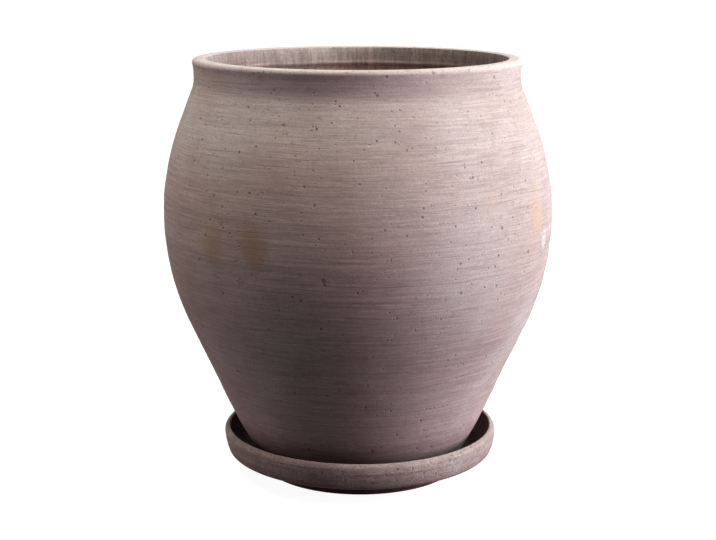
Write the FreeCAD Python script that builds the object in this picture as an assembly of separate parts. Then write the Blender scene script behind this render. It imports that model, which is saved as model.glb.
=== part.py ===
import FreeCAD, Part
import os

# A wide-bellied flower pot standing in its saucer, both of thick unglazed fired clay.
# Millimetres, +Z up. The origin is the centre of the saucer's foot, on the ground.
# Heights of each piece are counted from that piece's own underside.

# The pot's outside
pot_height = 363.2
pot_base_radius = 94.0
belly_radius = 175.0
belly_height = 221.8
neck_radius = 144.9
neck_drop = 16.2
rim_flare = 2.7
rim_width = 13.1
lower_wall_bow = 0.8

# Where the pot's outline changes from one curve to the next. Below the belly each is a share of
# the way from the base to the belly, and above it a share of the way from the belly to the neck.
knee_height_share = 0.245
knee_radius_share = 0.345
taper_top_height_share = 0.585
taper_top_radius_share = 0.760
shoulder_height_share = 0.676
shoulder_radius_share = 0.542
neck_foot_height_share = 0.899
neck_foot_radius_share = 0.911

# The throat is an undercut of the wall below the lip's inner edge. It is deepest at a share of the
# way down to the foot of the neck.
throat_depth = 2.8
throat_drop_share = 0.343
throat_edge_round = 1.2

# The pot's wall, base and edges
pot_wall = 12.8
pot_base_thickness = 14.0
rim_outer_round = 3.4
rim_inner_round = 2.0
heel_round = 3.0
pot_floor_cove = 16.0
pot_foot_ring_width = 18.0
pot_foot_hollow_depth = 2.0
drain_hole_radius = 14.0
drain_hole_round = 1.5

# The saucer, which is made to the pot's base
saucer_height = 40.3
saucer_floor_height = 15.0
saucer_lip_width = 5.3
saucer_lip_depth = 5.0
saucer_lip_edge_round = 1.2
water_gap = 26.5
saucer_wall_tuck = 4.1
saucer_corner_height = 17.2
saucer_corner_round = 6.0
saucer_foot_inset = 4.1
saucer_foot_height = 6.0
saucer_foot_ring_width = 14.0
saucer_foot_hollow_depth = 2.0
saucer_foot_round = 1.2
saucer_cove_share = 0.95

# The largest part of a wall that one edge's rounding may take up
round_limit_share = 0.45
# How far a cut runs past the clay
overrun = 5.0
# Heights that differ by less than this are the same height
same_height = 0.01

INNERMOST = 0
OUTERMOST = -1

AXIS_FOOT = FreeCAD.Vector(0, 0, 0)
SIDEWAYS = FreeCAD.Vector(1, 0, 0)
UP = FreeCAD.Vector(0, 0, 1)


def at(radius, height):
    """A point of an outline, in the half plane that is turned about the axis."""
    return FreeCAD.Vector(radius, 0, height)


def between(low, high, radius_share, height_share):
    """The point at these shares of the way from one point to another."""
    return at(low.x + (high.x - low.x) * radius_share, low.z + (high.z - low.z) * height_share)


def outward(start, end):
    """The unit direction away from the axis, square to a run that climbs from start to end."""
    run = end - start
    return FreeCAD.Vector(run.z, 0, -run.x).normalize()


def line(start, end):
    return Part.LineSegment(start, end).toShape()


def bowed_arc(start, end, bow):
    """An arc that climbs from start to end and stands out from the straight run by the bow."""
    middle = (start + end) / 2 + outward(start, end) * bow
    return Part.Arc(start, middle, end).toShape()


def upright_arc(upright, other):
    """An arc that stands upright at its first point and leans in or out to reach the other."""
    across = upright.x - other.x
    along = other.z - upright.z
    if across == 0:
        return line(upright, other)
    radius = (across ** 2 + along ** 2) / (2 * across)
    centre = at(upright.x - radius, upright.z)
    halfway = ((upright - centre) + (other - centre)).normalize()
    return Part.Arc(upright, centre + halfway * abs(radius), other).toShape()


def quarter_arc(start, end, corner):
    """A quarter circle between two points, bulging towards the corner that they share."""
    centre = start + end - corner
    middle = centre + (corner - centre).normalize() * (start - centre).Length
    return Part.Arc(start, middle, end).toShape()


def turned(edges):
    """The solid that a closed outline makes when it is turned about the axis."""
    wire = Part.Wire(Part.__sortEdges__(edges))
    return Part.Face(wire).revolve(AXIS_FOOT, UP, 360)


def disc(radius, low, high):
    return Part.makeCylinder(radius, high - low, at(0, low), UP)


def level_edges(solid, height):
    """The circular edges that lie level at a height, from the innermost to the outermost."""
    found = []
    for edge in solid.Edges:
        box = edge.BoundBox
        if abs(box.ZMin - height) < same_height and abs(box.ZMax - height) < same_height:
            found.append(edge)
    return sorted(found, key=lambda edge: edge.BoundBox.XMax)


def rounded(solid, radius, wall, height, place):
    """The solid with one circular edge at a height rounded, as far as the wall allows."""
    edge = level_edges(solid, height)[place]
    return solid.makeFillet(min(radius, wall * round_limit_share), [edge])


def pot_outer_points():
    """The pot's outer outline from base to rim: each point is where one curve meets the next."""
    base = at(pot_base_radius, 0)
    belly = at(belly_radius, belly_height)
    neck = at(neck_radius, pot_height - neck_drop)
    return {
        "base": base,
        "knee": between(base, belly, knee_radius_share, knee_height_share),
        "taper_top": between(base, belly, taper_top_radius_share, taper_top_height_share),
        "belly": belly,
        "shoulder": between(belly, neck, shoulder_radius_share, shoulder_height_share),
        "neck_foot": between(belly, neck, neck_foot_radius_share, neck_foot_height_share),
        "neck": neck,
        "rim": at(neck_radius + rim_flare, pot_height),
    }


def pot_inner_points(outer):
    """The same points moved in by the wall, each square to the wall where it stands.

    The lip is thicker than the wall, so its inner corner stands in by the rim's own width.
    """
    foot_way = outward(outer["base"], outer["knee"])
    taper_way = outward(outer["knee"], outer["taper_top"])
    shoulder_way = outward(outer["shoulder"], outer["neck_foot"])
    ways = {
        "base": foot_way,
        "knee": taper_way,
        "taper_top": taper_way,
        "belly": SIDEWAYS,
        "shoulder": shoulder_way,
        "neck_foot": shoulder_way,
        "neck": SIDEWAYS,
    }
    inner = {name: outer[name] - way * pot_wall for name, way in ways.items()}
    inner["rim"] = outer["rim"] - SIDEWAYS * rim_width
    return inner


def pot_side(points):
    """The edges of one side of the pot's wall, from base to rim."""
    return [
        bowed_arc(points["base"], points["knee"], lower_wall_bow),
        line(points["knee"], points["taper_top"]),
        upright_arc(points["belly"], points["taper_top"]),
        upright_arc(points["belly"], points["shoulder"]),
        line(points["shoulder"], points["neck_foot"]),
        upright_arc(points["neck"], points["neck_foot"]),
        upright_arc(points["neck"], points["rim"]),
    ]


def closed_to_axis(side, low, high):
    """A side's edges closed by a level run to the axis at each end, and along the axis."""
    foot = at(0, low.z)
    top = at(0, high.z)
    return side + [line(low, foot), line(foot, top), line(top, high)]


def throat_cutter(inner):
    """The ring that undercuts the wall below the lip, down to the foot of the neck."""
    lip_foot = inner["neck"]
    low = inner["neck_foot"]
    deepest = at(lip_foot.x + throat_depth, lip_foot.z + (low.z - lip_foot.z) * throat_drop_share)
    top_corner = at(lip_foot.x - overrun, lip_foot.z)
    low_corner = at(top_corner.x, low.z)
    corners = [top_corner, lip_foot, deepest, low, low_corner]
    return turned([line(start, end) for start, end in zip(corners, corners[1:] + corners[:1])])


def make_pot():
    """The pot: a thrown shell with a thick lip, a flat base and one drain hole."""
    outer = pot_outer_points()
    inner = pot_inner_points(outer)
    clay = turned(closed_to_axis(pot_side(outer), outer["base"], outer["rim"]))
    mouth = at(inner["rim"].x, pot_height + overrun)
    hollow_side = pot_side(inner) + [line(inner["rim"], mouth)]
    hollow = turned(closed_to_axis(hollow_side, inner["base"], mouth))
    hollow = hollow.common(disc(belly_radius, pot_base_thickness, pot_height + overrun))
    pot = clay.cut(hollow).cut(throat_cutter(inner))

    foot_hollow_radius = pot_base_radius - pot_foot_ring_width
    pot = pot.cut(disc(foot_hollow_radius, -overrun, pot_foot_hollow_depth))
    pot = pot.cut(disc(drain_hole_radius, -overrun, pot_base_thickness + overrun))

    base_web = pot_base_thickness - pot_foot_hollow_depth
    pot = rounded(pot, rim_outer_round, rim_width, pot_height, OUTERMOST)
    pot = rounded(pot, rim_inner_round, rim_width, pot_height, INNERMOST)
    pot = rounded(pot, throat_edge_round, pot_wall, inner["neck"].z, INNERMOST)
    pot = rounded(pot, heel_round, pot_foot_ring_width, 0, OUTERMOST)
    pot = rounded(pot, pot_floor_cove, foot_hollow_radius, pot_base_thickness, OUTERMOST)
    pot = rounded(pot, drain_hole_round, base_web, pot_foot_hollow_depth, INNERMOST)
    pot = rounded(pot, drain_hole_round, base_web, pot_base_thickness, INNERMOST)
    pot.translate(at(0, saucer_floor_height))
    return pot


def make_saucer():
    """The saucer: a shallow dish with a lip rounded off outwards, a coved inside and a turned foot."""
    inner_radius = pot_base_radius + water_gap
    outer_radius = inner_radius + saucer_lip_width
    lip_height = saucer_height - saucer_lip_depth
    foot_radius = pot_base_radius - saucer_foot_inset
    cove = (lip_height - saucer_floor_height) * saucer_cove_share

    outer_lip = at(outer_radius, lip_height)
    crest = at(inner_radius, saucer_height)
    cove_top = at(inner_radius, saucer_floor_height + cove)
    cove_corner = at(inner_radius, saucer_floor_height)
    cove_foot = at(inner_radius - cove, saucer_floor_height)
    corner = at(outer_radius - saucer_wall_tuck, saucer_corner_height)
    foot_top = at(foot_radius, saucer_foot_height)
    foot_edge = at(foot_radius, 0)
    hollow_radius = foot_radius - saucer_foot_ring_width
    hollow_edge = at(hollow_radius, 0)
    hollow_corner = at(hollow_radius, saucer_foot_hollow_depth)
    side = [
        line(cove_foot, at(0, saucer_floor_height)),
        quarter_arc(cove_top, cove_foot, cove_corner),
        line(crest, cove_top),
        upright_arc(outer_lip, crest),
        upright_arc(outer_lip, corner),
        line(corner, foot_top),
        line(foot_top, foot_edge),
        line(foot_edge, hollow_edge),
        line(hollow_edge, hollow_corner),
        line(hollow_corner, at(0, saucer_foot_hollow_depth)),
        line(at(0, saucer_foot_hollow_depth), at(0, saucer_floor_height)),
    ]
    saucer = turned(side)
    saucer = rounded(saucer, saucer_lip_edge_round, saucer_lip_width, crest.z, INNERMOST)
    saucer = rounded(saucer, saucer_corner_round, saucer_corner_height, corner.z, OUTERMOST)
    saucer = rounded(saucer, saucer_foot_round, saucer_foot_height, foot_top.z, OUTERMOST)
    return rounded(saucer, saucer_foot_round, saucer_foot_height, foot_edge.z, OUTERMOST)


os.makedirs("parts", exist_ok=True)
for node, shape in (("saucer", make_saucer()), ("pot", make_pot())):
    shape.exportStep("parts/" + node + ".step")
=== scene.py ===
import math
from types import SimpleNamespace

import bpy
import numpy as np
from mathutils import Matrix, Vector


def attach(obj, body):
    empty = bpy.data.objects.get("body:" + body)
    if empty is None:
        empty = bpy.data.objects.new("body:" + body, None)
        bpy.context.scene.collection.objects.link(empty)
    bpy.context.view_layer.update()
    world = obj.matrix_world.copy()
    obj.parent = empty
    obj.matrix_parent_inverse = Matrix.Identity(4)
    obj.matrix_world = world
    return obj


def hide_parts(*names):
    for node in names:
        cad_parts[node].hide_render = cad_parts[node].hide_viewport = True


# A wide-bellied flower pot of thick unglazed clay, standing in its saucer.
# Metres, +Z up, in the frame of the solids. The viewer stands towards -Y.

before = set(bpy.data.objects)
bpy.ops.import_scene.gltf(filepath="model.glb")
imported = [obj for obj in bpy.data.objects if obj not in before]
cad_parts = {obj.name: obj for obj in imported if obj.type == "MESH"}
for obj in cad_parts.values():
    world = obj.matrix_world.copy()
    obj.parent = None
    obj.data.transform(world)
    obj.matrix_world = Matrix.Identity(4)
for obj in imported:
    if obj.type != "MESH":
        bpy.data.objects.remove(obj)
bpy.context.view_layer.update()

MM = 0.001

# The pot's outside, as radius and height above the ground. Each point is where one curve meets the next.
POT_UNDERSIDE = 15.0 * MM
POT_FLOOR = 29.0 * MM
POT_TOP = 378.2 * MM
HEEL = (94.0 * MM, POT_UNDERSIDE)
KNEE = (121.95 * MM, 69.34 * MM)
TAPER_TOP = (155.56 * MM, 144.75 * MM)
BELLY = (175.0 * MM, 236.8 * MM)
SHOULDER = (158.69 * MM, 321.44 * MM)
NECK_FOOT = (147.58 * MM, 349.36 * MM)
NECK = (144.9 * MM, 362.0 * MM)
RIM = (147.6 * MM, POT_TOP)
LOWER_WALL_BOW = 0.8 * MM

# The pot's inside, in the same way. The throat is an undercut below the lip.
RIM_WIDTH = 13.1 * MM
INNER_NECK = (132.1 * MM, 362.0 * MM)
THROAT = (134.9 * MM, 356.04 * MM)
INNER_NECK_FOOT = (135.69 * MM, 344.62 * MM)
INNER_SHOULDER = (146.79 * MM, 316.7 * MM)
INNER_BELLY = (162.2 * MM, 236.8 * MM)
INNER_TAPER_TOP = (143.87 * MM, 149.96 * MM)
INNER_KNEE = (110.25 * MM, 74.55 * MM)
INNER_HEEL = (87.2 * MM, POT_FLOOR)

# The pot's edges, foot and drain hole
THROAT_EDGE_ROUND = 1.2 * MM
RIM_OUTER_ROUND = 3.4 * MM
RIM_INNER_ROUND = 2.0 * MM
HEEL_ROUND = 3.0 * MM
FLOOR_COVE = 16.0 * MM
DRAIN_HOLE = 14.0 * MM
DRAIN_HOLE_ROUND = 1.5 * MM
POT_FOOT_RING = 18.0 * MM
FOOT_HOLLOW_DEPTH = 2.0 * MM
FOOT_HOLLOW_ROUND = 0.7 * MM

# The saucer, which is made to the pot's heel
SAUCER_FLOOR = POT_UNDERSIDE
SAUCER_TOP = 40.3 * MM
WATER_GAP = 26.5 * MM
SAUCER_INNER = HEEL[0] + WATER_GAP
SAUCER_LIP_WIDTH = 5.3 * MM
SAUCER_LIP_DEPTH = 5.0 * MM
SAUCER_LIP_EDGE_ROUND = 1.2 * MM
SAUCER_OUTER_LIP = (SAUCER_INNER + SAUCER_LIP_WIDTH, SAUCER_TOP - SAUCER_LIP_DEPTH)
SAUCER_COVE_SHARE = 0.95
SAUCER_COVE = (SAUCER_OUTER_LIP[1] - SAUCER_FLOOR) * SAUCER_COVE_SHARE
SAUCER_WALL_TUCK = 4.1 * MM
SAUCER_CORNER = (SAUCER_OUTER_LIP[0] - SAUCER_WALL_TUCK, 17.2 * MM)
SAUCER_CORNER_ROUND = 6.0 * MM
SAUCER_FOOT_INSET = 4.1 * MM
SAUCER_FOOT = HEEL[0] - SAUCER_FOOT_INSET
SAUCER_FOOT_HEIGHT = 6.0 * MM
SAUCER_FOOT_RING = 14.0 * MM
SAUCER_FOOT_ROUND = 1.2 * MM

# The meshes: segments round the axis, and how far apart the rings lie on each kind of surface
SEGMENTS = 236
ARC_POINTS = 48
OUTSIDE_STEP = 1.32 * MM
EDGE_STEP = 0.85 * MM
INSIDE_STEP = 5.0 * MM
PLAIN_STEP = 4.0 * MM
SAUCER_STEP = 0.9 * MM
SAUCER_FLOOR_STEP = 2.0 * MM

FULL_TURN = 2 * math.pi
ANGLES = np.linspace(0, FULL_TURN, SEGMENTS, endpoint=False)
FRONT = math.radians(-90)


def unit(vector):
    """The direction of a vector, as a vector of length 1."""
    return vector / np.linalg.norm(vector)


def arc_through(start, middle, end):
    """Points of the circle's arc that runs from start through middle to end."""
    a, b, c = (np.array(point, float) for point in (start, middle, end))
    chords = 2 * np.array([b - a, c - a])
    centre = np.linalg.solve(chords, np.array([b @ b - a @ a, c @ c - a @ a]))
    first, half, last = (math.atan2(*(point - centre)[::-1]) for point in (a, b, c))
    sweep = (last - first) % FULL_TURN
    if (half - first) % FULL_TURN > sweep:
        sweep -= FULL_TURN
    angles = first + np.linspace(0, sweep, ARC_POINTS)
    radius = np.linalg.norm(a - centre)
    return centre + radius * np.stack([np.cos(angles), np.sin(angles)], 1)


def upright_arc(upright, other):
    """Points of the arc that stands upright at its first point and leans to reach the other."""
    across = upright[0] - other[0]
    along = other[1] - upright[1]
    radius = (across ** 2 + along ** 2) / (2 * across)
    centre = np.array([upright[0] - radius, upright[1]])
    halfway = unit(unit(np.array(upright) - centre) + unit(np.array(other) - centre))
    return arc_through(upright, centre + halfway * abs(radius), other)


def bowed_arc(start, end, bow):
    """Points of a shallow arc that stands out from the straight run by the bow."""
    start, end = np.array(start), np.array(end)
    along = unit(end - start)
    outward = np.array([along[1], -along[0]])
    return arc_through(start, (start + end) / 2 + outward * bow, end)


def straight(start, end):
    """The two points of a straight run."""
    return np.array([start, end], float)


def lengths_along(points):
    """How far along the run each of its points lies."""
    return np.concatenate([[0], np.cumsum(np.linalg.norm(np.diff(points, axis=0), axis=1))])


def points_at(places, along, points):
    """The points of a run that lie at these lengths along it."""
    return np.stack([np.interp(places, along, points[:, k]) for k in (0, 1)], 1)


def respaced(points, spacing):
    """The same run with its points evenly spaced."""
    along = lengths_along(points)
    count = max(2, round(along[-1] / spacing) + 1)
    return points_at(np.linspace(0, along[-1], count), along, points)


def shortened(points, at_start, at_end):
    """The run without a length at each end."""
    along = lengths_along(points)
    low, high = at_start, along[-1] - at_end
    inside = along[(along > low) & (along < high)]
    return points_at(np.concatenate([[low], inside, [high]]), along, points)


def joined(runs, closed):
    """One outline from runs of (points, spacing, rounding at its end, surface name)."""
    count = len(runs)
    cut = np.zeros(count)
    for k, (points, _, rounding, _) in enumerate(runs):
        after = runs[(k + 1) % count][0]
        if rounding:
            turn = unit(points[-1] - points[-2]) @ unit(after[1] - after[0])
            cut[k] = rounding * math.tan(math.acos(turn) / 2)
    path, surfaces = [], []
    for k, (points, spacing, rounding, surface) in enumerate(runs):
        run = respaced(shortened(points, cut[k - 1], cut[k]), spacing)
        path.append(run[:-1] if not rounding else run)
        surfaces += [surface] * len(path[-1])
        if rounding:
            corner = points[-1]
            after = runs[(k + 1) % count][0]
            leaves = corner + unit(after[1] - after[0]) * cut[k]
            centre = corner + unit((run[-1] + leaves) / 2 - corner) * math.hypot(rounding, cut[k])
            middle = centre + unit(corner - centre) * rounding
            bend = respaced(arc_through(run[-1], middle, leaves), min(spacing, EDGE_STEP))
            path.append(bend[1:-1])
            surfaces += ["edge"] * len(path[-1])
    if not closed:
        path.append(runs[-1][0][-1:])
        surfaces.append(surfaces[-1])
    return np.concatenate(path), np.array(surfaces)


def pot_outer_runs():
    """The runs of the pot's section from under the foot, up the outside, to the top of the rim."""
    return [
        (straight((HEEL[0] - POT_FOOT_RING, POT_UNDERSIDE), HEEL), PLAIN_STEP, HEEL_ROUND, "foot"),
        (bowed_arc(HEEL, KNEE, LOWER_WALL_BOW), OUTSIDE_STEP, 0, "outside"),
        (straight(KNEE, TAPER_TOP), OUTSIDE_STEP, 0, "outside"),
        (upright_arc(BELLY, TAPER_TOP)[::-1], OUTSIDE_STEP, 0, "outside"),
        (upright_arc(BELLY, SHOULDER), OUTSIDE_STEP, 0, "outside"),
        (straight(SHOULDER, NECK_FOOT), OUTSIDE_STEP, 0, "outside"),
        (upright_arc(NECK, NECK_FOOT)[::-1], OUTSIDE_STEP, 0, "outside"),
        (upright_arc(NECK, RIM), OUTSIDE_STEP, RIM_OUTER_ROUND, "rim"),
    ]


def pot_inner_runs():
    """The runs from the top of the rim, over the lip and down the inside, to the drain hole."""
    inner_rim = (RIM[0] - RIM_WIDTH, POT_TOP)
    return [
        (straight(RIM, inner_rim), EDGE_STEP * 2, RIM_INNER_ROUND, "rim"),
        (upright_arc(INNER_NECK, inner_rim)[::-1], EDGE_STEP, THROAT_EDGE_ROUND, "rim"),
        (straight(INNER_NECK, THROAT), EDGE_STEP, THROAT_EDGE_ROUND, "inside"),
        (straight(THROAT, INNER_NECK_FOOT), INSIDE_STEP / 2, 0, "inside"),
        (straight(INNER_NECK_FOOT, INNER_SHOULDER), INSIDE_STEP, 0, "inside"),
        (upright_arc(INNER_BELLY, INNER_SHOULDER)[::-1], INSIDE_STEP, 0, "inside"),
        (upright_arc(INNER_BELLY, INNER_TAPER_TOP), INSIDE_STEP, 0, "inside"),
        (straight(INNER_TAPER_TOP, INNER_KNEE), INSIDE_STEP, 0, "inside"),
        (bowed_arc(INNER_HEEL, INNER_KNEE, LOWER_WALL_BOW)[::-1], INSIDE_STEP, FLOOR_COVE, "inside"),
        (straight(INNER_HEEL, (DRAIN_HOLE, POT_FLOOR)), INSIDE_STEP, DRAIN_HOLE_ROUND, "inside"),
    ]


def pot_base_runs():
    """The runs down through the drain hole and out over the hollow under the foot."""
    ceiling = POT_UNDERSIDE + FOOT_HOLLOW_DEPTH
    edge = HEEL[0] - POT_FOOT_RING
    return [
        (straight((DRAIN_HOLE, POT_FLOOR), (DRAIN_HOLE, ceiling)), PLAIN_STEP, DRAIN_HOLE_ROUND, "hole"),
        (straight((DRAIN_HOLE, ceiling), (edge, ceiling)), PLAIN_STEP * 2, FOOT_HOLLOW_ROUND, "foot"),
        (straight((edge, ceiling), (edge, POT_UNDERSIDE)), PLAIN_STEP, FOOT_HOLLOW_ROUND, "foot"),
    ]


def pot_outline():
    """The pot's section, from under the foot, up the outside, over the rim and down the inside."""
    return joined(pot_outer_runs() + pot_inner_runs() + pot_base_runs(), closed=True)


def saucer_outline():
    """The saucer's section, from the axis underneath, round the lip and back to the axis."""
    hollow = SAUCER_FOOT - SAUCER_FOOT_RING
    ceiling = FOOT_HOLLOW_DEPTH
    foot_top = (SAUCER_FOOT, SAUCER_FOOT_HEIGHT)
    crest = (SAUCER_INNER, SAUCER_TOP)
    cove_top = (SAUCER_INNER, SAUCER_FLOOR + SAUCER_COVE)
    cove_foot = (SAUCER_INNER - SAUCER_COVE, SAUCER_FLOOR)
    cove_middle = np.array([cove_foot[0], cove_top[1]]) + SAUCER_COVE * unit(np.array([1.0, -1.0]))
    return joined([
        (straight((0, ceiling), (hollow, ceiling)), PLAIN_STEP, FOOT_HOLLOW_ROUND, "foot"),
        (straight((hollow, ceiling), (hollow, 0)), PLAIN_STEP, FOOT_HOLLOW_ROUND, "foot"),
        (straight((hollow, 0), (SAUCER_FOOT, 0)), PLAIN_STEP, SAUCER_FOOT_ROUND, "foot"),
        (straight((SAUCER_FOOT, 0), foot_top), EDGE_STEP, SAUCER_FOOT_ROUND, "under"),
        (straight(foot_top, SAUCER_CORNER), SAUCER_STEP, SAUCER_CORNER_ROUND, "under"),
        (upright_arc(SAUCER_OUTER_LIP, SAUCER_CORNER)[::-1], SAUCER_STEP, 0, "outside"),
        (upright_arc(SAUCER_OUTER_LIP, crest), SAUCER_STEP, SAUCER_LIP_EDGE_ROUND, "rim"),
        (straight(crest, cove_top), SAUCER_STEP, 0, "inside"),
        (arc_through(cove_top, cove_middle, cove_foot), SAUCER_STEP, 0, "inside"),
        (straight(cove_foot, (0, SAUCER_FLOOR)), SAUCER_FLOOR_STEP, 0, "floor"),
    ], closed=False)


# The clay's slight unevenness. Each kind has its seed, how far apart its knots lie along the outline,
# how many lie round the axis, and how far it stands out.
POT_RIDGES = (11, 9.0 * MM, 5, 0.13 * MM)
POT_SWELL = (12, 38.0 * MM, 4, 0.22 * MM)
POT_BRUSHING = (13, 1.6 * MM, 16, 0.030 * MM)
POT_BRISTLES = (14, 1.35 * MM, 44, 0.020 * MM)
POT_RIM_WAVE = (15, 12.0 * MM, 9, 0.16 * MM)
POT_THROWING_RINGS = (16, 7.0 * MM, 6, 0.30 * MM)
SAUCER_TURNING = (21, 2.2 * MM, 10, 0.10 * MM)
SAUCER_SWELL = (22, 9.0 * MM, 5, 0.14 * MM)
SAUCER_BRISTLES = (23, 1.0 * MM, 40, 0.025 * MM)
SAUCER_RIM_WAVE = (24, 8.0 * MM, 10, 0.14 * MM)
SAUCER_FLOOR_RINGS = (25, 3.5 * MM, 3, 0.16 * MM)
# The saucer's floor lies this much lower than the pot's underside, and its rings lie lower still
SAUCER_FLOOR_DROP = 0.05 * MM
# The rings over which unevenness fades where a surface ends
WALL_FADE = 4
POT_RIM_FADE = 2
SAUCER_FADE = 3

# Grooves that a coarse grain dragged round the wet clay. Each has its height in millimetres, the angle of
# its middle to the right of the front, half its length in degrees and its depth in millimetres.
POT_GROOVES = (
    (345.5, -12, 12, 0.16),
    (327.0, 38, 22, 0.14),
    (300.0, 4, 20, 0.10),
    (262.0, 20, 26, 0.12),
    (226.0, -20, 30, 0.10),
    (205.0, 32, 24, 0.12),
    (180.0, 8, 18, 0.08),
    (150.0, -35, 26, 0.08),
    (318.0, 150, 30, 0.14),
    (282.0, 190, 35, 0.12),
    (240.0, 120, 28, 0.12),
    (196.0, 215, 34, 0.12),
    (160.0, 165, 30, 0.10),
    (335.0, 245, 24, 0.12),
)
GROOVE_WIDTH = 1.1 * MM
GROOVE_END_POWER = 0.7
GROOVE_DRIFT = 0.4 * MM
GROOVE_DRIFT_WAVES = 3

# A soft bead round the inside of the lip, just above the throat
LIP_BEAD = 0.5 * MM
LIP_BEAD_HEIGHT = 363.4 * MM
LIP_BEAD_REACH = 1.3 * MM

# How far each piece stands off the axis, to the viewer's right, at its foot, and how far it leans back
# to the left on its way up
POT_SHIFT = -0.1 * MM
POT_LEAN = 1.05 * MM
SAUCER_SHIFT = 1.85 * MM
SAUCER_LEAN = 0.75 * MM


def eased(share):
    """A share from 0 to 1 that sets out and arrives gently."""
    return share * share * (3 - 2 * share)


def uneven(along, seed, reach_along, knots_round, height):
    """Smooth random unevenness over the outline and round the axis: one row per outline point."""
    rng = np.random.default_rng(seed)
    places = along / reach_along
    rows = int(places.max()) + 3
    grid = rng.standard_normal((rows, knots_round))
    low = places.astype(int)
    part = eased(places - low)[:, None]
    turns = (ANGLES % FULL_TURN) / FULL_TURN * knots_round
    left = turns.astype(int) % knots_round
    right = (left + 1) % knots_round
    share = eased(turns - turns.astype(int))
    below = grid[low][:, left] * (1 - share) + grid[low][:, right] * share
    above = grid[low + 1][:, left] * (1 - share) + grid[low + 1][:, right] * share
    return (below * (1 - part) + above * part) * height


def covers(surfaces, names, fade):
    """1 on the named surfaces and 0 elsewhere, fading over a few rings."""
    mask = np.isin(surfaces, names).astype(float)
    kernel = np.ones(2 * fade + 1) / (2 * fade + 1)
    padded = np.concatenate([mask[-fade:], mask, mask[:fade]])
    return np.convolve(padded, kernel, "valid")[:, None]


def groove(height, angle, half_length, depth, heights):
    """One shallow groove cut into the wall, with ends that run out."""
    turn = (ANGLES - FRONT - math.radians(angle) + math.pi) % FULL_TURN - math.pi
    away = np.degrees(turn)
    window = np.clip(1 - (away / half_length) ** 2, 0, 1) ** GROOVE_END_POWER
    drift = np.sin(turn * GROOVE_DRIFT_WAVES) * GROOVE_DRIFT
    across = (heights - height * MM - drift) / GROOVE_WIDTH
    return -depth * MM * np.exp(-across ** 2) * window


def pot_offsets(outline, surfaces):
    """How far each point of the pot stands out from the smooth outline."""
    along = lengths_along(outline)
    radii, heights = outline[:, :1], outline[:, 1:]
    wall = covers(surfaces, ["outside", "rim"], WALL_FADE)
    brushed = covers(surfaces, ["outside"], WALL_FADE)
    inside = covers(surfaces, ["inside"], WALL_FADE)
    rim = covers(surfaces, ["rim", "edge"], POT_RIM_FADE)
    grooves = sum(groove(*row, heights) for row in POT_GROOVES)
    within_lip = radii < RIM[0] - RIM_WIDTH
    bead = LIP_BEAD * np.exp(-((heights - LIP_BEAD_HEIGHT) / LIP_BEAD_REACH) ** 2) * within_lip
    return (wall * (uneven(along, *POT_RIDGES) + uneven(along, *POT_SWELL))
            + brushed * (uneven(along, *POT_BRUSHING) + uneven(along, *POT_BRISTLES) + grooves)
            + rim * uneven(along, *POT_RIM_WAVE)
            + inside * uneven(along, *POT_THROWING_RINGS)
            + bead)


def saucer_offsets(outline, surfaces):
    """How far each point of the saucer stands out from the smooth outline."""
    along = lengths_along(outline)
    turned = (uneven(along, *SAUCER_TURNING) + uneven(along, *SAUCER_SWELL)
              + uneven(along, *SAUCER_BRISTLES))
    rings = np.abs(uneven(along, *SAUCER_FLOOR_RINGS)) + SAUCER_FLOOR_DROP
    outside = covers(surfaces, ["outside", "under"], SAUCER_FADE)
    lip = covers(surfaces, ["rim", "edge"], SAUCER_FADE) * (outline[:, 1:] > SAUCER_OUTER_LIP[1])
    floor = covers(surfaces, ["floor", "inside"], SAUCER_FADE)
    return outside * turned + lip * uneven(along, *SAUCER_RIM_WAVE) - floor * rings


def pot_lean(height):
    """How far to the right the pot's section lies: it leans a little to the left towards the rim."""
    climbed = np.clip((height - POT_UNDERSIDE) / (POT_TOP - POT_UNDERSIDE), 0, 1)
    return POT_SHIFT - POT_LEAN * climbed ** 2


def saucer_lean(height):
    """How far to the right the saucer's section lies, its foot more than its lip."""
    return SAUCER_SHIFT - SAUCER_LEAN * np.clip(height / SAUCER_TOP, 0, 1)


def lathe(name, outline, offsets, lean, closed):
    """A turned mesh: each ring is the outline's point moved along its normal and by the lean."""
    before, after = np.roll(outline, 1, axis=0), np.roll(outline, -1, axis=0)
    if not closed:
        before[0], after[-1] = outline[0], outline[-1]
    run = after - before
    run /= np.linalg.norm(run, axis=1)[:, None]
    radius = outline[:, :1] + run[:, 1:] * offsets
    height = outline[:, 1:] - run[:, :1] * offsets
    points = np.stack([radius * np.cos(ANGLES) + lean(height), radius * np.sin(ANGLES), height], 2)
    tips = [] if closed else [points[0].mean(0).tolist(), points[-1].mean(0).tolist()]
    if not closed:
        points = points[1:-1]
    rings = len(points)
    index = np.arange(rings * SEGMENTS).reshape(rings, SEGMENTS)
    lower = index if closed else index[:-1]
    upper = np.roll(index, -1, axis=0) if closed else index[1:]
    corners = [lower, np.roll(lower, -1, axis=1), np.roll(upper, -1, axis=1), upper]
    faces = np.stack([corner.ravel() for corner in corners], 1).tolist()
    if tips:
        first, last = rings * SEGMENTS, rings * SEGMENTS + 1
        around = np.roll(index, -1, axis=1)
        faces += [[first, b, a] for a, b in zip(index[0].tolist(), around[0].tolist())]
        faces += [[last, a, b] for a, b in zip(index[-1].tolist(), around[-1].tolist())]
    mesh = bpy.data.meshes.new(name)
    mesh.from_pydata(points.reshape(-1, 3).tolist() + tips, [], faces)
    mesh.update()
    mesh.shade_smooth()
    piece = bpy.data.objects.new(name, mesh)
    bpy.context.scene.collection.objects.link(piece)
    return piece


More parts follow.
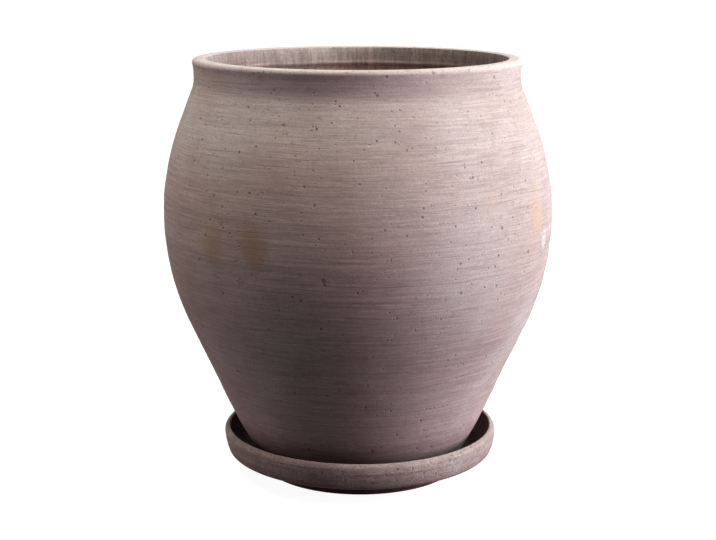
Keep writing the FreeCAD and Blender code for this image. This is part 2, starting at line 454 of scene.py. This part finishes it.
def turned_piece(name, node, outline_of, offsets_of, lean, closed):
    """A turned piece that stands for one node, and the smooth outline that it was turned from."""
    outline, surfaces = outline_of()
    piece = lathe(name, outline, offsets_of(outline, surfaces), lean, closed)
    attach(piece, node)
    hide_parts(node)
    return piece, outline


pot, pot_path = turned_piece("pot_clay_body", "pot", pot_outline, pot_offsets, pot_lean, True)
saucer, saucer_path = turned_piece("saucer_clay_body", "saucer", saucer_outline,
                                   saucer_offsets, saucer_lean, False)

# The camera, fitted to the outlines of the pot and saucer in the photograph
IMAGE = (716, 540)
FOCAL_PIXELS = 1498.9
SENSOR = 36.0
CAMERA_AT = Vector((0, -1.3425, 0.4785))
CAMERA_PITCH = math.radians(12.383)
NEAREST = 0.05
FARTHEST = 200
# Places in the photograph are counted from the middle of its first pixel
HALF_PIXEL = 0.5

camera_data = bpy.data.cameras.new("camera")
camera_data.sensor_width = SENSOR
camera_data.lens = FOCAL_PIXELS / IMAGE[0] * SENSOR
camera_data.clip_start = NEAREST
camera_data.clip_end = FARTHEST
camera_data.shift_x = -HALF_PIXEL / IMAGE[0]
camera_data.shift_y = HALF_PIXEL / IMAGE[0]
camera = bpy.data.objects.new("camera", camera_data)
camera.location = CAMERA_AT
camera.rotation_euler = (math.pi / 2 - CAMERA_PITCH, 0, 0)
bpy.context.scene.collection.objects.link(camera)
bpy.context.scene.camera = camera

# A ray from the camera is searched for the clay between these distances, along the camera's own axis
RAY_REACH = (1.0, 1.45)
RAY_STEPS = 9001
# The visible outside of both sections begins where the outline first comes this far from the axis
OUTSIDE_FROM = 90.0 * MM


def at_pixel(outline, lean, across, down):
    """The first place where the ray through a pixel of the photograph meets a turned, leaning outline."""
    side = (across - IMAGE[0] / 2) / FOCAL_PIXELS
    rise = (IMAGE[1] / 2 - down) / FOCAL_PIXELS
    cosine, sine = math.cos(CAMERA_PITCH), math.sin(CAMERA_PITCH)
    ray = np.array([side, cosine + rise * sine, rise * cosine - sine])
    places = np.array(CAMERA_AT) + np.linspace(*RAY_REACH, RAY_STEPS)[:, None] * ray
    skin = outline[:int(np.argmax(outline[:, 1])) + 1]
    skin = skin[np.argmax(skin[:, 0] > OUTSIDE_FROM):]
    skin = skin[np.argsort(skin[:, 1])]
    reach = np.interp(places[:, 2], skin[:, 1], skin[:, 0], left=0, right=0)
    inside = np.hypot(places[:, 0] - lean(places[:, 2]), places[:, 1]) < reach
    return tuple(float(value) for value in places[int(np.argmax(inside))])


def rgb(red, green, blue):
    """A colour as a shader's socket takes it."""
    return (red, green, blue, 1.0)


def grey(level):
    """A colour without a tint."""
    return rgb(level, level, level)


# A wall is the inside of a vessel where the outward part of its normal is below the first value, and its
# outside where it is above the second. A floor fades in as the upward part of its normal grows.
WALL_FACES_OUT = (-0.45, -0.15)
FLOOR_FACES_UP = (0.0, 0.3)
# A patch of a stain, a bloom or painted shade: how its height is scaled, which makes it taller than wide, and
# the share of its reach that is at full strength
PATCH_SCALE = (1.0, 1.0, 0.78)
PATCH_CORE = 0.2


class Graph:
    """The nodes of a material or the world, with short ways to add one and to link its inputs."""

    def __init__(self, owner):
        owner.use_nodes = True
        self.nodes = owner.node_tree.nodes
        self.links = owner.node_tree.links
        self.nodes.clear()

    def add(self, kind, inputs, output=0, **settings):
        """A new node's output. Each input is a socket to link or a value to set."""
        node = self.nodes.new(kind)
        for key, value in settings.items():
            setattr(node, key, value)
        for key, value in inputs.items():
            if isinstance(value, bpy.types.NodeSocket):
                self.links.new(value, node.inputs[key])
            else:
                node.inputs[key].default_value = value
        return node.outputs[output] if node.outputs else None

    def math(self, operation, *values):
        return self.add("ShaderNodeMath", dict(enumerate(values)), operation=operation)

    def vector_math(self, operation, *values, output=0):
        return self.add("ShaderNodeVectorMath", dict(enumerate(values)), output, operation=operation)

    def times(self, first, second):
        return self.math("MULTIPLY", first, second)

    def sum(self, *values):
        total = values[0]
        for value in values[1:]:
            total = self.math("ADD", total, value)
        return total

    def upwards(self, vector):
        """The part of a vector that points up."""
        return self.add("ShaderNodeSeparateXYZ", {0: vector}, "Z")

    def noise(self, place, across, along, detail, roughness=0.5, distortion=0.0):
        """Noise that repeats this often in a metre, level and upwards."""
        stretched = self.vector_math("MULTIPLY", place, (across, across, along))
        return self.add("ShaderNodeTexNoise", {"Vector": stretched, "Scale": 1.0, "Detail": detail,
                                               "Roughness": roughness, "Distortion": distortion})

    def range(self, value, low, high, to_low=0.0, to_high=1.0):
        """An amount that eases from one level, where the value is low, to another, where it is high."""
        inputs = {"Value": value, "From Min": low, "From Max": high, "To Min": to_low, "To Max": to_high}
        return self.add("ShaderNodeMapRange", inputs, interpolation_type="SMOOTHSTEP")

    def mix(self, amount, first, second, blend="MIX"):
        return self.add("ShaderNodeMix", {"Factor": amount, 6: first, 7: second}, 2, data_type="RGBA",
                        blend_type=blend)

    def hollow(self, place, reach, top):
        """1 on the inside of a turned vessel, below its lip, and 0 on its outside."""
        level = self.vector_math("MULTIPLY", place, (1, 1, 0))
        radius = self.vector_math("LENGTH", level, output=1)
        normal = self.add("ShaderNodeTexCoord", {}, "Normal")
        faces_out = self.vector_math("DOT_PRODUCT", self.vector_math("NORMALIZE", level), normal, output=1)
        walls = self.range(faces_out, *WALL_FACES_OUT, 1.0, 0.0)
        floors = self.times(self.range(self.upwards(normal), *FLOOR_FACES_UP),
                            self.range(radius, reach, reach + MM, 1.0, 0.0))
        below_top = self.range(self.upwards(place), top - MM, top, 1.0, 0.0)
        return self.times(self.math("MAXIMUM", walls, floors), below_top)

    def spot(self, place, centre, core, reach):
        """1 in a ball round the centre, fading to 0 at its reach."""
        away = self.vector_math("DISTANCE", place, centre, output=1)
        return self.range(away, core, reach, 1.0, 0.0)

    def patch(self, place, centre, reach):
        """A soft spot that is taller than it is wide."""
        centre = tuple(value * share for value, share in zip(centre, PATCH_SCALE))
        return self.spot(self.vector_math("MULTIPLY", place, PATCH_SCALE), centre, reach * PATCH_CORE, reach)


# Marks on the clay, read off the photograph. Each begins with its pixel there, across and down.
# Pores have only the pixel.
POT_PORES = (
    (316, 129), (363, 150), (295, 156), (391, 111), (399, 110), (376, 141), (394, 126), (331, 123),
    (313, 93), (374, 93), (200, 118), (228, 123), (205, 124), (283, 134), (225, 149), (239, 152),
    (270, 157), (207, 175), (228, 202), (222, 207), (249, 193), (269, 221), (455, 226), (465, 245),
    (512, 217), (498, 255), (406, 236), (472, 177), (477, 179), (423, 430), (420, 420), (380, 447),
    (470, 178), (436, 123), (467, 111), (481, 162), (302, 235), (318, 239), (252, 276), (237, 281),
    (292, 297), (238, 243), (229, 233), (237, 192), (206, 191), (255, 214), (468, 259), (484, 287),
    (455, 279), (423, 208), (475, 208), (434, 428), (396, 434), (444, 424), (353, 161), (339, 106),
    (208, 87), (274, 90), (370, 67), (468, 70), (516, 74),
)
SAUCER_PORES = (
    (397, 469), (412, 468), (435, 473), (434, 476), (423, 473), (451, 455), (234, 437), (274, 457),
    (280, 458), (296, 473), (321, 473), (342, 474), (396, 480), (353, 473), (235, 449), (449, 460),
    (460, 452), (470, 447), (440, 462),
)
# The pores take these reaches and strengths in turn. Each is darkest within the core.
PORE_SIZES = (
    (1.5125 * MM, 1.05), (1.25 * MM, 0.70), (1.40 * MM, 0.90), (1.175 * MM, 0.60), (1.325 * MM, 0.80),
)
PORE_CORE = 0.35 * MM

# Stains and patches of painted shade: the pixel of the middle, the reach in millimetres, the strength and the
# colour
OCHRE = (0.63, 0.475, 0.36)
RUST = (0.51, 0.345, 0.24)
SUNLIT = (0.67, 0.46, 0.33)
CHALK = (0.88, 0.87, 0.90)
# Brown painted shade, on the neck under the lip and on the middle of the belly
PAINTED_SHADE_BROWN = (0.36, 0.27, 0.25)
# Dark painted shade, for the saucer
SHADE = (0.22, 0.165, 0.15)
POT_STAINS_AND_PAINTED_SHADE = (
    (206, 236, 19, 0.60, OCHRE), (213, 246, 17, 0.75, RUST), (251, 245, 20, 0.80, RUST),
    (257, 260, 16, 0.70, RUST), (536, 208, 20, 0.60, SUNLIT), (537, 222, 18, 0.62, SUNLIT),
    (544, 236, 10, 0.60, CHALK), (308, 99, 26, 0.22, PAINTED_SHADE_BROWN), (490, 204, 20, 0.18, OCHRE),
    (372, 256, 42, 0.10, PAINTED_SHADE_BROWN),
)
# The saucer's patches are all painted shade: at its left end, in the gap on the right and under its front
# edge
SAUCER_PAINTED_SHADOWS = (
    (229, 421, 30, 0.62, SHADE), (236, 441, 28, 0.35, SHADE), (489, 432, 26, 0.28, SHADE),
    (318, 482, 24, 0.30, SHADE),
)

# Pale blooms: the pixel of the middle, the reach in millimetres and the strength
POT_BLOOMS = (
    (188, 124, 50, 0.66), (235, 118, 60, 0.60), (240, 73, 34, 0.30), (280, 73, 34, 0.42),
    (312, 73, 28, 0.25), (300, 114, 50, 0.45), (360, 114, 50, 0.35), (460, 280, 75, 0.30),
    (480, 250, 60, 0.24), (240, 345, 75, 0.38), (270, 305, 65, 0.28), (255, 380, 40, 0.28),
    (261, 417, 24, 0.40), (520, 322, 42, 0.55), (386, 212, 34, 0.22), (434, 209, 22, 0.22),
    (213, 344, 24, 0.40), (226, 366, 20, 0.30), (488, 372, 30, 0.35), (214, 138, 42, 0.35),
    (460, 140, 50, 0.30),
)
SAUCER_BLOOMS = ((351, 482, 12, 0.45), (238, 444, 12, 0.35), (455, 465, 16, 0.45), (300, 470, 12, 0.20))

# Painted shade (shares below 1) and painted light (shares above 1) inside: the middle and the reach in
# millimetres, and the share of the colour. Each is at full strength within the core, which is a share of the
# reach.
POT_INSIDE_PAINTED_SHADING = (
    ((120, 40, 370), 160, (0.50, 0.49, 0.47)),
    ((-30, 130, 352), 40, (1.34, 1.36, 1.37)),
    ((38, 125, 378), 34, (0.78, 0.79, 0.80)),
    ((-115, 75, 366), 60, (0.92, 0.85, 0.84)),
)
SAUCER_INSIDE_PAINTED_SHADE = (
    ((112, 10, 30), 60, (0.62, 0.49, 0.43)),
    ((-112, 0, 30), 70, (0.80, 0.78, 0.76)),
)
SHADE_CORE = 0.2

# Painted shade and painted light near the foot: the heights between which it fades out, and the share of the
# colour.
# The pot has painted shade just above the saucer and painted light up its lower wall; the saucer has painted
# shade round its foot.
POT_FOOT_PAINTED_SHADING = (
    (42 * MM, 66 * MM, (0.68, 0.66, 0.66)),
    (60 * MM, 190 * MM, (1.04, 1.02, 1.03)),
)
SAUCER_FOOT_PAINTED_SHADE = ((11 * MM, 24 * MM, (0.17, 0.12, 0.11)),)

# Noises of the clay: how often each repeats in a metre, level and upwards, then its detail, roughness and
# distortion. The brush lines repeat far more often upwards, and they drift a little up and down.
BRUSH_LINES = {
    "brushed": (16.0, 430.0, 3.0, 0.6, 0.0),
    "combed": (26.0, 780.0, 3.0, 0.6, 0.0),
    "banded": (5.0, 70.0, 2.0, 0.5, 0.0),
    "drawn": (15.0, 640.0, 1.0, 0.5, 0.0),
    "nicked": (75.0, 760.0, 1.0, 0.5, 0.0),
}
CLOUDS = {
    "mottled": (13.0, 13.0, 4.0, 0.6, 0.0),
    "cloudy": (18.0, 26.0, 5.0, 0.65, 0.4),
    "grain": (720.0, 720.0, 3.0, 0.7, 0.0),
    "coarse": (210.0, 330.0, 2.0, 0.6, 0.0),
    "patchy": (42.0, 20.0, 3.0, 0.6, 0.0),
    "streaked": (330.0, 42.0, 2.0, 0.5, 0.5),
    "ragged": (95.0, 95.0, 1.0, 0.5, 0.0),
}
# This one repeats more often in coarser clay
BLOTCHES = (38.0, 62.0, 4.0, 0.62, 0.3)
BRUSH_DRIFT = 4.0 * MM
DRIFT_REPEATS = 14.0
DRIFT_DETAIL = 3.0
# How a seed moves the noises, so that two pieces differ
SEED_WAY = (1.0, 0.7, 0.3)

# Marks scattered over the clay: how far their pattern is moved, how often it repeats in a metre, the
# two distances from a mark's middle between which it fades out, and its strength
SPECKS = ((0.0, 0.0, 0.0), 105.0, (0.28, 0.41), 0.66)
DOTS = ((0.9, 0.2, 0.6), 235.0, (0.32, 0.44), 0.72)
CRUMBS = ((0.31, 0.17, 0.53), 210.0, (0.08, 0.16), 1.0)
SMUDGES = ((0.7, 0.4, 0.2), 62.0, (0.30, 0.50), 1.0)
MARK_RAGGEDNESS = 0.55

# The fine ridges of the turning: the wave's radians in a metre upwards, and those that the bands add
RIDGE_WAVES = 1850.0
RIDGE_BEND = 9.0

# The raggedness of stains and blooms: a noise moves each place by up to about half of the shift
EDGE_REPEATS = 62.0
EDGE_DETAIL = 3.0
EDGE_SHIFT = 16.0 * MM

# Tints that lie over the clay's own colour
BAND_TINT = rgb(0.53, 0.42, 0.42)
MOTTLE_TINT = rgb(0.64, 0.49, 0.44)
CLOUD_TINT = rgb(0.75, 0.65, 0.64)
BLOOM_TINT = rgb(0.78, 0.71, 0.70)
# Painted shade in the scratches
SCRATCH_SHADE_TINT = rgb(0.26, 0.20, 0.18)
CRUMB_TINT = rgb(0.72, 0.66, 0.62)
SMUDGE_TINT = rgb(0.38, 0.28, 0.23)
RIDGE_TINT = rgb(0.36, 0.28, 0.26)
# Painted shade in the pits and pores
PIT_SHADE_TINT = rgb(0.14, 0.09, 0.07)
# The share of the clay's own colour in a blotch, and what the paler band below the top adds to it
BLOTCH_SHARE = (0.60, 0.52, 0.48)
PALE_BAND_ADDS = 0.13

# The inside: its streaks, and the distances below the top between which the painted light on the wall below
# the throat's edge fades out upwards, and between which the painted highlight on that edge fades in and out
# again
DARK_STREAK = grey(0.84)
PALE_STREAK = rgb(1.16, 1.15, 1.14)
THROAT_PAINTED_LIGHT_FADES_OUT = (22.0 * MM, 17.5 * MM)
PAINTED_HIGHLIGHT_FADES_IN = (17.0 * MM, 15.8 * MM)
PAINTED_HIGHLIGHT_FADES_OUT = (14.6 * MM, 13.2 * MM)

# The clay's gloss
ROUGHNESS = (0.84, 0.95)
SPECULAR = 0.15


class Clay(Graph):
    """Unglazed fired clay: its noises by name, and the steps in which its colour is built up."""

    def __init__(self, material, outline, lean, base, seed, coarseness):
        super().__init__(material)
        self.outline = outline
        self.lean = lean
        self.base = np.array(base)
        self.coarseness = coarseness
        self.closeness = math.sqrt(coarseness)
        self.place = self.add("ShaderNodeTexCoord", {}, "Object")
        self.height = self.upwards(self.place)
        self.still = self.vector_math("ADD", self.place, tuple(seed * share for share in SEED_WAY))
        drift = self.noise(self.still, DRIFT_REPEATS, DRIFT_REPEATS, DRIFT_DETAIL)
        drift = self.add("ShaderNodeCombineXYZ", {"Z": self.times(drift, BRUSH_DRIFT)})
        self.drifting = self.vector_math("ADD", self.still, drift)
        across, along, *shape = BLOTCHES
        noises = {"blotched": self.noise(self.still, across * self.closeness, along * self.closeness, *shape)}
        for place, rows in ((self.drifting, BRUSH_LINES), (self.still, CLOUDS)):
            noises.update({name: self.noise(place, *row) for name, row in rows.items()})
        self.pattern = SimpleNamespace(**noises)
        self.ragged = self.times(self.pattern.ragged, MARK_RAGGEDNESS)

    def at(self, across, down):
        """The place on the clay that a pixel of the photograph shows."""
        return at_pixel(self.outline, self.lean, across, down)

    def tone(self, share):
        """The clay's own colour, made darker or lighter."""
        return rgb(*(self.base * share))

    def paler(self, by):
        """The clay's own colour with the same amount added to each part."""
        return rgb(*(self.base + by))

    def scattered(self, marks, ragged, closer=1.0):
        """Marks that lie scattered over the clay."""
        moved_by, repeats, fade, strength = marks
        place = self.vector_math("ADD", self.still, moved_by)
        cells = self.add("ShaderNodeTexVoronoi", {"Vector": place, "Scale": repeats * closer}, "Distance")
        return self.range(self.sum(cells, ragged), *fade, strength, 0.0)

    def scratches(self):
        """Thin dark lines, long and short, along the brush lines, darkened with painted shade in the
        scratches.
        """
        drawn = self.range(self.pattern.drawn, 0.65, 0.72, 0.0, 0.6)
        nicked = self.range(self.pattern.nicked, 0.67, 0.76, 0.0, 0.6)
        return self.math("MAXIMUM", drawn, nicked)

    def ridges(self):
        """The fine ridges of the turning, where the clay is cloudy."""
        bend = self.times(self.pattern.banded, RIDGE_BEND)
        wave = self.math("SINE", self.sum(self.times(self.upwards(self.drifting), RIDGE_WAVES), bend))
        return self.times(self.range(wave, -0.2, 1.0), self.range(self.pattern.cloudy, 0.42, 0.62))

    def pits(self, pores):
        """Specks and dots at random, and the pores that can be made out in the photograph, all darkened with
        painted shade in the pits.
        """
        lowered = 0.04 * self.coarseness
        crowded = self.range(self.pattern.patchy, 0.50 - lowered, 0.60 - lowered)
        dots = self.times(self.scattered(DOTS, self.ragged), crowded)
        pits = self.math("MAXIMUM", self.scattered(SPECKS, self.ragged, self.closeness), dots)
        for k, (across, down) in enumerate(pores):
            reach, strength = PORE_SIZES[k % len(PORE_SIZES)]
            pore = self.times(self.spot(self.place, self.at(across, down), PORE_CORE, reach), strength)
            pits = self.math("MAXIMUM", pits, pore)
        return pits

    def laid(self, colour, *layers):
        """The colour under some layers.

        Each has its noise, the two values of the noise between which the layer's amount changes, the
        amounts at them, and the tint.
        """
        for noise, (low, high), (amount_low, amount_high), tint in layers:
            colour = self.mix(self.range(noise, low, high, amount_low, amount_high), colour, tint)
        return colour

    def own_colour(self):
        """The clay's colour with its brush lines, bands, mottling and blotches."""
        pattern = self.pattern
        blotches = 0.17 * self.coarseness ** 1.4
        return self.laid(
            self.tone(0.87),
            (pattern.brushed, (0.32, 0.68), (0.0, 1.0), self.tone(1.13)),
            (pattern.combed, (0.38, 0.57), (0.60, 0.0), self.tone(0.62)),
            (pattern.banded, (0.35, 0.72), (0.0, 0.26), BAND_TINT),
            (pattern.mottled, (0.42, 0.70), (0.0, 0.40), MOTTLE_TINT),
            (pattern.cloudy, (0.52, 0.72), (0.0, 0.44), CLOUD_TINT),
            (pattern.blotched, (0.48, 0.64), (0.0, blotches), self.tone(BLOTCH_SHARE)),
            (pattern.blotched, (0.32, 0.46), (0.10 * self.coarseness, 0.0), self.tone(1.25)),
        )

    def worn_and_paled(self, colour, top, worn, pale_band):
        """The colour with the lip worn pale and a paler band below it.

        Both are given by how far below the top they begin and are full, and by their strength.
        """
        worn_from, worn_to, paler = worn
        amount = self.times(self.range(self.height, top - worn_from, top - worn_to),
                            self.range(self.pattern.grain, 0.3, 0.55, 0.35, 0.62))
        colour = self.mix(amount, colour, self.paler(paler))
        band_from, band_to, strength = pale_band
        amount = self.times(self.range(self.height, top - band_from, top - band_to),
                            self.range(self.pattern.cloudy, 0.3, 0.6, 0.5 * strength, strength))
        return self.mix(amount, colour, self.paler(PALE_BAND_ADDS))

    def ragged_place(self):
        """The place moved about at random, which gives a patch a ragged edge."""
        shift = self.add("ShaderNodeTexNoise",
                         {"Vector": self.still, "Scale": EDGE_REPEATS, "Detail": EDGE_DETAIL}, "Color")
        shift = self.vector_math("ADD", shift, (-0.5, -0.5, -0.5))
        shift = self.add("ShaderNodeVectorMath", {0: shift, "Scale": EDGE_SHIFT}, operation="SCALE")
        return self.vector_math("ADD", self.place, shift)

    def blemished(self, colour, blooms, stains_and_painted_shade):
        """The colour with pale blooms, which the brush lines show through, and then stains and patches of
        painted shade.
        """
        place = self.ragged_place()
        thin = self.range(self.sum(self.pattern.combed, self.pattern.cloudy), 0.80, 1.15, 0.45, 1.0)
        for across, down, reach, strength in blooms:
            bloom = self.times(self.patch(place, self.at(across, down), reach * MM), thin)
            colour = self.mix(self.times(bloom, strength), colour, BLOOM_TINT)
        for across, down, reach, strength, tint in stains_and_painted_shade:
            tinted_patch = self.patch(place, self.at(across, down), reach * MM)
            colour = self.mix(self.times(tinted_patch, strength), colour, rgb(*tint))
        return colour

    def finely_marked(self, colour, scratches, crumbs, pits):
        """The colour with scratches and pits darkened by painted shade, and grain, crumbs, smudges and
        turning ridges.
        """
        pattern, coarseness = self.pattern, self.coarseness
        colour = self.laid(
            self.mix(self.times(scratches, 0.50), colour, SCRATCH_SHADE_TINT),
            (pattern.grain, (0.36, 0.60), (0.37 * coarseness, 0.0), self.tone(0.56)),
            (pattern.coarse, (0.55, 0.70), (0.0, 0.20 * coarseness), self.tone(0.49)),
            (pattern.coarse, (0.30, 0.44), (0.13 * coarseness, 0.0), self.tone(1.3)),
        )
        marks = (
            (crumbs, 0.14 * coarseness, CRUMB_TINT),
            (self.scattered(SMUDGES, self.ragged), 0.30, SMUDGE_TINT),
            (self.ridges(), 0.16, RIDGE_TINT),
            (pits, 0.80, PIT_SHADE_TINT),
        )
        for mark, amount, tint in marks:
            colour = self.mix(self.times(mark, amount), colour, tint)
        return colour

    def inner_share(self, top, inside, throat, painted_shading):
        """The share of the colour that is left inside: darker, streaked, and with painted shade and painted
        light in places.

        The wall below the throat's edge is painted paler by the throat's share, as painted light against the
        undercut's shade, and the pale line on that edge is a painted highlight in the same tint.
        """
        def climbing(low, high, *levels):
            """An amount that changes between two distances below the top."""
            return self.range(self.height, top - low, top - high, *levels)

        share = self.mix(self.range(self.pattern.patchy, 0.35, 0.65), grey(inside * 0.88),
                         grey(inside * 1.12))
        streaks = self.mix(self.range(self.pattern.streaked, 0.36, 0.64), DARK_STREAK, PALE_STREAK)
        share = self.mix(1.0, share, streaks, "MULTIPLY")
        # Painted light on the wall below the throat's edge
        share = self.mix(climbing(*THROAT_PAINTED_LIGHT_FADES_OUT, 1.0, 0.0), share, rgb(*throat), "MULTIPLY")
        # A painted highlight along the throat's edge
        line = self.times(climbing(*PAINTED_HIGHLIGHT_FADES_IN), climbing(*PAINTED_HIGHLIGHT_FADES_OUT, 1.0, 0.0))
        line = self.times(line, self.range(self.pattern.cloudy, 0.35, 0.6, 0.1, 0.6))
        share = self.mix(line, share, rgb(*throat), "MULTIPLY")
        # Painted shade and painted light in spots inside
        for centre, reach, left in painted_shading:
            middle = tuple(value * MM for value in centre)
            shade = self.spot(self.place, middle, SHADE_CORE * reach * MM, reach * MM)
            share = self.mix(shade, share, rgb(*left), "MULTIPLY")
        return share

    def relief(self, scratches, crumbs, pits):
        """How far the clay's fine marks stand out of it or are sunk into it, as a bumped normal."""
        heights = (
            (self.pattern.brushed, 0.12 * MM),
            (self.pattern.combed, 0.13 * MM),
            (self.pattern.grain, 0.08 * MM * self.coarseness),
            (self.pattern.coarse, -0.06 * MM * self.coarseness),
            (crumbs, 0.04 * MM),
            (scratches, -0.12 * MM),
            (pits, -0.35 * MM),
        )
        height = self.sum(*(self.times(mark, amount) for mark, amount in heights))
        return self.add("ShaderNodeBump", {"Strength": 1.0, "Distance": 1.0, "Height": height})


def clay(name, outline, lean, base, seed, coarseness, top, reach, inside, throat, worn, pale_band,
         painted_shading, foot_painted_shading, pores, stains_and_painted_shade, blooms):
    """Unglazed fired clay: brushed lines, grain, pores, pale bloom and a few ochre finger marks, with painted
    shade and painted light inside, near the foot and in patches.

    Where it faces inwards below the top, or upwards within its reach, it is the vessel's inside.
    """
    material = bpy.data.materials.new(name)
    g = Clay(material, outline, lean, base, seed, coarseness)
    scratches = g.scratches()
    crumbs = g.scattered(CRUMBS, ragged=0.0)
    pits = g.pits(pores)
    colour = g.worn_and_paled(g.own_colour(), top, worn, pale_band)
    colour = g.blemished(colour, blooms, stains_and_painted_shade)
    colour = g.finely_marked(colour, scratches, crumbs, pits)
    share = g.inner_share(top, inside, throat, painted_shading)
    colour = g.mix(g.hollow(g.place, reach, top), colour, share, "MULTIPLY")
    # Painted shade and painted light towards the foot
    for low, high, left in foot_painted_shading:
        colour = g.mix(g.range(g.height, low, high, 1.0, 0.0), colour, rgb(*left), "MULTIPLY")
    shader = g.add("ShaderNodeBsdfPrincipled", {
        "Base Color": colour,
        "Roughness": g.range(g.pattern.mottled, 0.2, 0.8, *ROUGHNESS),
        "Specular IOR Level": SPECULAR,
        "Normal": g.relief(scratches, crumbs, pits),
    })
    g.add("ShaderNodeOutputMaterial", {"Surface": shader})
    return material


def pot_look():
    """The pot's clay: grey pink, finely brushed, with a pale rim and a paler band below it."""
    return clay(
        "pot_clay_look", pot_path, pot_lean, base=(0.64, 0.49, 0.465), seed=0.0, coarseness=1.0,
        # The throat's share is painted light below the lip's inner edge
        top=POT_TOP, reach=120 * MM, inside=0.62, throat=(1.90, 1.80, 1.80),
        worn=(6.5 * MM, 3.0 * MM, 0.20), pale_band=(22 * MM, 4 * MM, 0.75),
        painted_shading=POT_INSIDE_PAINTED_SHADING, foot_painted_shading=POT_FOOT_PAINTED_SHADING,
        pores=POT_PORES, stains_and_painted_shade=POT_STAINS_AND_PAINTED_SHADE, blooms=POT_BLOOMS)


def saucer_look():
    """The saucer's clay: the same, but browner and coarser, with painted shade round its foot."""
    return clay(
        "saucer_clay_look", saucer_path, saucer_lean, base=(0.555, 0.42, 0.395), seed=3.1, coarseness=2.4,
        top=SAUCER_TOP, reach=SAUCER_INNER, inside=0.44, throat=(1, 1, 1),
        worn=(1.2 * MM, 0.3 * MM, 0.05), pale_band=(4 * MM, 1 * MM, 0.10),
        painted_shading=SAUCER_INSIDE_PAINTED_SHADE, foot_painted_shading=SAUCER_FOOT_PAINTED_SHADE,
        pores=SAUCER_PORES, stains_and_painted_shade=SAUCER_PAINTED_SHADOWS, blooms=SAUCER_BLOOMS)


pot.data.materials.append(pot_look())
saucer.data.materials.append(saucer_look())

# The floor, the backdrop and the light
FLOOR_SIZE = 60.0
FLOOR_DROP = 0.3 * MM
# The floor glows so that it stays white, a little less within the first distance from the pot than
# beyond the second
GLOW_REACH = (0.25, 0.9)
GLOW = (0.94, 1.0)
PAPER = grey(0.36)
DIM_PAPER = grey(0.065)
WHITE = grey(1.0)
DUSK = rgb(1.0, 0.9, 0.85)
DUSK_LEVEL = 0.002


def seen_directly(g):
    """1 for rays from the camera and for rays that metal or glass would mirror or pass on."""
    camera_ray, glossy_ray, passed_ray = (
        g.add("ShaderNodeLightPath", {}, "Is %s Ray" % kind) for kind in ("Camera", "Glossy", "Transmission"))
    return g.math("MAXIMUM", g.math("MAXIMUM", camera_ray, glossy_ray), passed_ray)


def floor_look():
    """White paper with a soft shadow near the foot, which throws only a little light back on the pot."""
    material = bpy.data.materials.new("floor_look")
    g = Graph(material)
    place = g.add("ShaderNodeTexCoord", {}, "Object")
    away = g.vector_math("LENGTH", place, output=1)
    paper = g.add("ShaderNodeBsdfDiffuse", {"Color": PAPER})
    light = g.add("ShaderNodeEmission", {"Color": WHITE, "Strength": g.range(away, *GLOW_REACH, *GLOW)})
    pale = g.add("ShaderNodeAddShader", {0: paper, 1: light})
    dim = g.add("ShaderNodeBsdfDiffuse", {"Color": DIM_PAPER})
    shader = g.add("ShaderNodeMixShader", {0: seen_directly(g), 1: dim, 2: pale})
    g.add("ShaderNodeOutputMaterial", {"Surface": shader})
    return material


def add_floor():
    """A large square floor, just below the saucer's foot."""
    mesh = bpy.data.meshes.new("floor")
    half = FLOOR_SIZE / 2
    corners = [(-half, -half, 0), (half, -half, 0), (half, half, 0), (-half, half, 0)]
    mesh.from_pydata(corners, [], [(0, 1, 2, 3)])
    mesh.materials.append(floor_look())
    floor = bpy.data.objects.new("floor", mesh)
    floor.location.z = -FLOOR_DROP
    bpy.context.scene.collection.objects.link(floor)


def add_sky():
    """White to the camera, and almost no light on the pot."""
    world = bpy.data.worlds.new("world")
    bpy.context.scene.world = world
    sky = Graph(world)
    white = sky.add("ShaderNodeBackground", {"Color": WHITE, "Strength": 1.0})
    dusk = sky.add("ShaderNodeBackground", {"Color": DUSK, "Strength": DUSK_LEVEL})
    shader = sky.add("ShaderNodeMixShader", {0: seen_directly(sky), 1: dusk, 2: white})
    sky.add("ShaderNodeOutputWorld", {"Surface": shader})


# The lamps, which face a point in the pot. Azimuth 0 is to the viewer's right, and -90 is in front.
AIM = Vector((0, 0, 0.2))
# Each lamp's name, azimuth and elevation in degrees, distance, size, level and tint
LAMPS = (
    ("key_low", 0, 5, 2.2, 1.0, 0.802, (0.955, 1.02, 1.02)),
    ("key_middle", 0, 22, 2.2, 1.0, 0.123, (0.84, 0.976, 1.18)),
    ("key_high", 0, 45, 2.2, 1.0, 0.346, (0.699, 1.15, 1.15)),
    ("front_right_low", -18, 6, 2.2, 1.0, 0.227, (1.21, 0.765, 1.03)),
    ("front_right_high", -28, 50, 2.2, 1.0, 0.339, (1.06, 1.07, 0.863)),
    ("front_top", -90, 68, 2.2, 1.2, 0.257, (1.14, 0.879, 0.98)),
    ("left_low", 172, 8, 2.4, 1.0, 0.164, (1.15, 0.902, 0.946)),
    ("left_top", 175, 66, 2.2, 1.2, 0.345, (0.971, 1.15, 0.877)),
)


def softbox(name, azimuth, elevation, distance, size, level, tint):
    """A square lamp that faces the pot. At level 1 it lights a facing surface as brightly as its colour."""
    turn, climb = math.radians(azimuth), math.radians(elevation)
    towards = Vector((math.cos(climb) * math.cos(turn), math.cos(climb) * math.sin(turn), math.sin(climb)))
    data = bpy.data.lights.new(name, "AREA")
    data.shape = "SQUARE"
    data.size = size
    data.energy = level * (math.pi * distance) ** 2
    data.color = tint
    lamp = bpy.data.objects.new(name, data)
    lamp.location = AIM + towards * distance
    lamp.rotation_euler = (-towards).to_track_quat("-Z", "Y").to_euler()
    bpy.context.scene.collection.objects.link(lamp)


add_floor()
add_sky()
for lamp_row in LAMPS:
    softbox(*lamp_row)

bpy.context.scene.view_settings.view_transform = "Standard"
